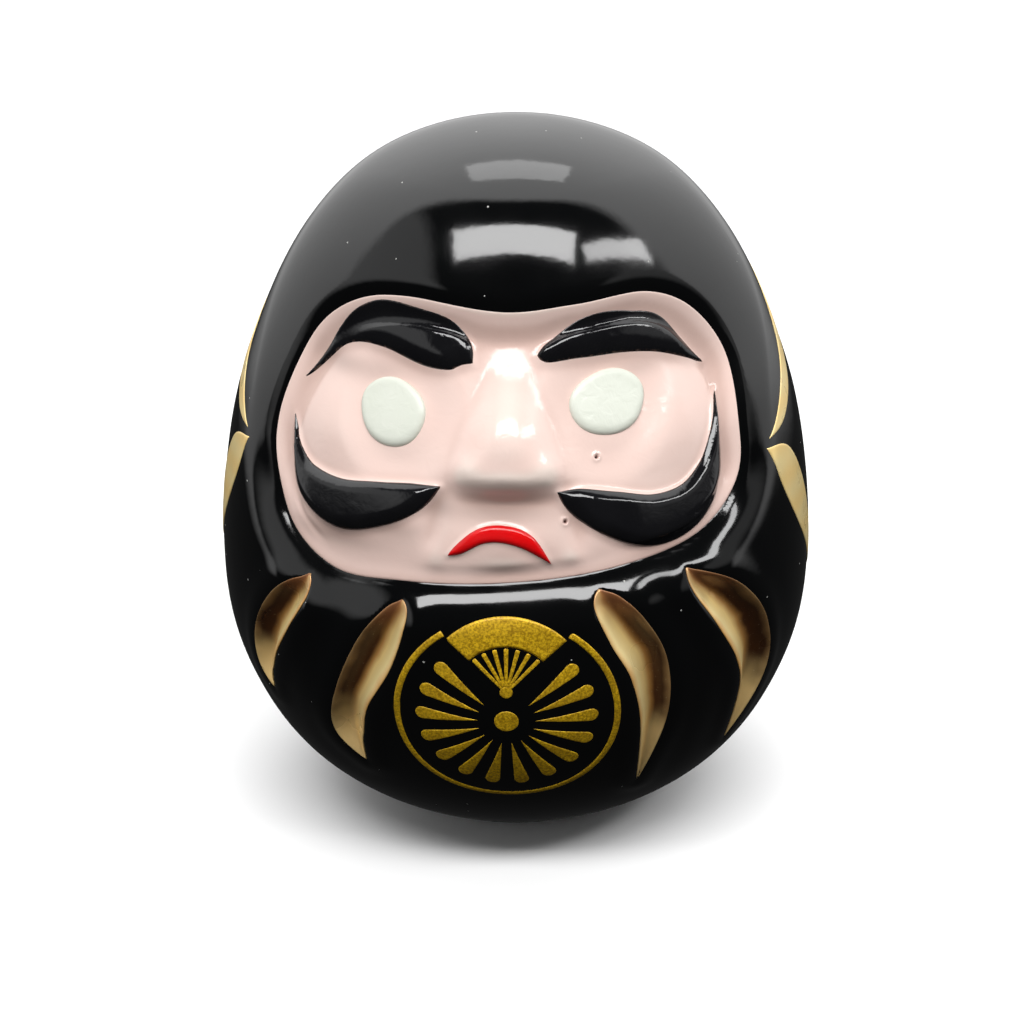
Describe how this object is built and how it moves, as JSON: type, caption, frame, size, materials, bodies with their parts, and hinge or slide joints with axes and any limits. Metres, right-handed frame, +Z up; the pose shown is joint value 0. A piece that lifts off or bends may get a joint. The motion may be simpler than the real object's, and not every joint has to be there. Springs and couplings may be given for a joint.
{
  "type": "daruma doll",
  "caption": "Small hollow glazed ceramic daruma doll with a recessed painted face, gold folds, a gold belly crest and a pull-out base stopper.",
  "frame": {"origin": "centre of the foot, on the surface that the doll stands on", "axes": "+Z up, the face looks along -Y, +X towards the doll's left hand side, which is the viewer's right"},
  "size_m": [0.0606, 0.0603, 0.0708],
  "materials": {
    "black_glaze": "glossy black glaze with faint orange peel",
    "pink_enamel": "glossy pale pink enamel",
    "white_enamel": "satin greenish-white enamel",
    "black_enamel": "glossy thick black enamel",
    "red_enamel": "glossy red enamel",
    "gold_lustre": "satin gold lustre, brown where it is thin",
    "gold_transfer": "flat gold transfer with a fine speckle",
    "soft_stopper": "matte translucent off-white"
  },
  "bodies": {
    "doll": {"body_shell": "black_glaze", "face_enamel": "pink_enamel", "eye_left": "white_enamel", "eye_right": "white_enamel", "brow_left": "black_enamel", "brow_right": "black_enamel", "moustache_left": "black_enamel", "moustache_right": "black_enamel", "lip_red": "red_enamel", "fold_gold_inner_left": "gold_lustre", "fold_gold_inner_right": "gold_lustre", "fold_gold_outer_left": "gold_lustre", "fold_gold_outer_right": "gold_lustre", "side_stroke_upper_left": "gold_lustre", "side_stroke_upper_right": "gold_lustre", "side_stroke_lower_left": "gold_lustre", "side_stroke_lower_right": "gold_lustre", "crest_ring": "gold_transfer", "crest_petals": "gold_transfer", "crest_centre": "gold_transfer", "crest_fan": "gold_transfer"},
    "stopper": {"base_plug": "soft_stopper"}
  },
  "joints": [
    {"name": "stopper_pull", "type": "slide", "parent": "doll", "child": "stopper", "axis": [0, 0, -1], "range_m": [0, 0.008]}
  ]
}
